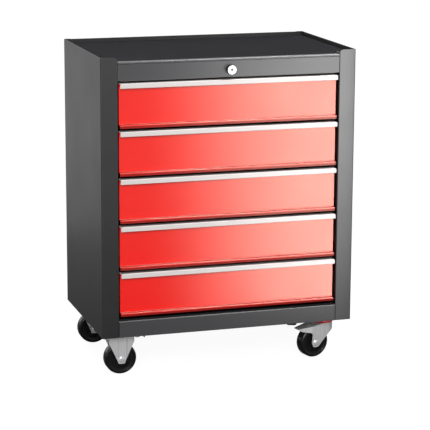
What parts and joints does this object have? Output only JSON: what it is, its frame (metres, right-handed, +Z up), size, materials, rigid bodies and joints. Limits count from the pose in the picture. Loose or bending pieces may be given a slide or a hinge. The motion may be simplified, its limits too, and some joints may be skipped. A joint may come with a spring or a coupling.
{
  "type": "rolling tool cabinet",
  "caption": "Sheet-steel rolling tool cabinet with full-width drawers on ball slides, a lock bar, a matted top tray and two fixed and two swivel casters.",
  "frame": {"origin": "on the floor, under the middle of the whole cabinet's bounding box", "axes": "+Z up; the drawers open towards -Y; +X to the right of someone facing the drawers"},
  "size_m": [0.616, 0.382, 0.756],
  "materials": {
    "black_paint": "satin black powder coat",
    "red_paint": "gloss red enamel",
    "box_paint": "satin black enamel",
    "pull_metal": "clear-anodised extrusion",
    "mat_rubber": "fine ribs",
    "zinc": "bright zinc plate",
    "lock_black": "black",
    "lock_chrome": "bright plated",
    "tyre_rubber": "smooth black",
    "hub_plastic": "moulded black",
    "seal_red": "dark red"
  },
  "bodies": {
    "carcass": {"left_side_panel": "black_paint", "right_side_panel": "black_paint", "back_panel": "black_paint", "base_pan": "black_paint", "top_tray": "black_paint", "top_mat": "mat_rubber", "lock_rail": "black_paint", "bottom_rail": "black_paint", "slide_pillars": "black_paint", "cabinet_runners": "zinc", "lock_housing": "lock_black", "lock_bar_guides": "lock_black", "caster_brackets": "black_paint", "caster_bolts": "zinc", "front_fixed_fork": "zinc", "rear_fixed_fork": "zinc", "fixed_caster_axles": "zinc", "swivel_caster_plates": "zinc"},
    "drawer_1": {"drawer_1_box": "box_paint", "drawer_1_front": "red_paint", "drawer_1_pull": "pull_metal", "drawer_1_runners": "zinc"},
    "drawer_1_cages": {"drawer_1_ball_cages": "zinc"},
    "drawer_2": {"drawer_2_box": "box_paint", "drawer_2_front": "red_paint", "drawer_2_pull": "pull_metal", "drawer_2_runners": "zinc"},
    "drawer_2_cages": {"drawer_2_ball_cages": "zinc"},
    "drawer_3": {"drawer_3_box": "box_paint", "drawer_3_front": "red_paint", "drawer_3_pull": "pull_metal", "drawer_3_runners": "zinc"},
    "drawer_3_cages": {"drawer_3_ball_cages": "zinc"},
    "drawer_4": {"drawer_4_box": "box_paint", "drawer_4_front": "red_paint", "drawer_4_pull": "pull_metal", "drawer_4_runners": "zinc"},
    "drawer_4_cages": {"drawer_4_ball_cages": "zinc"},
    "drawer_5": {"drawer_5_box": "box_paint", "drawer_5_front": "red_paint", "drawer_5_pull": "pull_metal", "drawer_5_runners": "zinc"},
    "drawer_5_cages": {"drawer_5_ball_cages": "zinc"},
    "lock_barrel": {"lock_plug": "lock_chrome", "lock_rod": "zinc"},
    "lock_lift_bar": {"lock_bar": "zinc"},
    "front_fixed_wheel": {"front_fixed_tyre": "tyre_rubber", "front_fixed_hub": "hub_plastic"},
    "rear_fixed_wheel": {"rear_fixed_tyre": "tyre_rubber", "rear_fixed_hub": "hub_plastic"},
    "front_swivel": {"front_swivel_fork": "zinc", "front_swivel_seal": "seal_red", "front_swivel_axle": "zinc"},
    "front_swivel_wheel": {"front_swivel_tyre": "tyre_rubber", "front_swivel_hub": "hub_plastic"},
    "rear_swivel": {"rear_swivel_fork": "zinc", "rear_swivel_seal": "seal_red", "rear_swivel_axle": "zinc"},
    "rear_swivel_wheel": {"rear_swivel_tyre": "tyre_rubber", "rear_swivel_hub": "hub_plastic"}
  },
  "joints": [
    {"name": "drawer_1_slide", "type": "slide", "parent": "carcass", "child": "drawer_1", "axis": [0, -1, 0], "range_m": [0, 0.225]},
    {"name": "drawer_1_cage_slide", "type": "slide", "parent": "carcass", "child": "drawer_1_cages", "axis": [0, -1, 0], "range_m": [0, 0.1125]},
    {"name": "drawer_2_slide", "type": "slide", "parent": "carcass", "child": "drawer_2", "axis": [0, -1, 0], "range_m": [0, 0.225]},
    {"name": "drawer_2_cage_slide", "type": "slide", "parent": "carcass", "child": "drawer_2_cages", "axis": [0, -1, 0], "range_m": [0, 0.1125]},
    {"name": "drawer_3_slide", "type": "slide", "parent": "carcass", "child": "drawer_3", "axis": [0, -1, 0], "range_m": [0, 0.225]},
    {"name": "drawer_3_cage_slide", "type": "slide", "parent": "carcass", "child": "drawer_3_cages", "axis": [0, -1, 0], "range_m": [0, 0.1125]},
    {"name": "drawer_4_slide", "type": "slide", "parent": "carcass", "child": "drawer_4", "axis": [0, -1, 0], "range_m": [0, 0.225]},
    {"name": "drawer_4_cage_slide", "type": "slide", "parent": "carcass", "child": "drawer_4_cages", "axis": [0, -1, 0], "range_m": [0, 0.1125]},
    {"name": "drawer_5_slide", "type": "slide", "parent": "carcass", "child": "drawer_5", "axis": [0, -1, 0], "range_m": [0, 0.225]},
    {"name": "drawer_5_cage_slide", "type": "slide", "parent": "carcass", "child": "drawer_5_cages", "axis": [0, -1, 0], "range_m": [0, 0.1125]},
    {"name": "lock_turn", "type": "hinge", "parent": "carcass", "child": "lock_barrel", "pos_m": [0, 0, 0.72], "axis": [0, -1, 0], "range_deg": [0, 90]},
    {"name": "lock_bar_slide", "type": "slide", "parent": "carcass", "child": "lock_lift_bar", "axis": [0, 0, 1], "range_m": [0, 0.01414]},
    {"name": "front_fixed_wheel_spin", "type": "hinge", "parent": "carcass", "child": "front_fixed_wheel", "pos_m": [-0.255, -0.129, 0.038], "axis": [0, 1, 0], "continuous": true},
    {"name": "rear_fixed_wheel_spin", "type": "hinge", "parent": "carcass", "child": "rear_fixed_wheel", "pos_m": [-0.255, 0.141, 0.038], "axis": [0, 1, 0], "continuous": true},
    {"name": "front_swivel_turn", "type": "hinge", "parent": "carcass", "child": "front_swivel", "pos_m": [0.262, -0.12193, 0.09], "axis": [0, 0, 1], "continuous": true},
    {"name": "front_swivel_wheel_spin", "type": "hinge", "parent": "front_swivel", "child": "front_swivel_wheel", "pos_m": [0.22874, -0.129, 0.038], "axis": [-0.2079, 0.9781, 0], "continuous": true},
    {"name": "rear_swivel_turn", "type": "hinge", "parent": "carcass", "child": "rear_swivel", "pos_m": [0.262, 0.112, 0.09], "axis": [0, 0, 1], "continuous": true},
    {"name": "rear_swivel_wheel_spin", "type": "hinge", "parent": "rear_swivel", "child": "rear_swivel_wheel", "pos_m": [0.27363, 0.14395, 0.038], "axis": [0.9397, -0.342, 0], "continuous": true}
  ],
  "couplings": [
    {"joint": "drawer_1_cage_slide", "follows": "drawer_1_slide", "ratio": 0.5},
    {"joint": "drawer_2_cage_slide", "follows": "drawer_2_slide", "ratio": 0.5},
    {"joint": "drawer_3_cage_slide", "follows": "drawer_3_slide", "ratio": 0.5},
    {"joint": "drawer_4_cage_slide", "follows": "drawer_4_slide", "ratio": 0.5},
    {"joint": "drawer_5_cage_slide", "follows": "drawer_5_slide", "ratio": 0.5},
    {"joint": "lock_turn", "follows": "lock_bar_slide", "rad_per_m": 111.07}
  ]
}
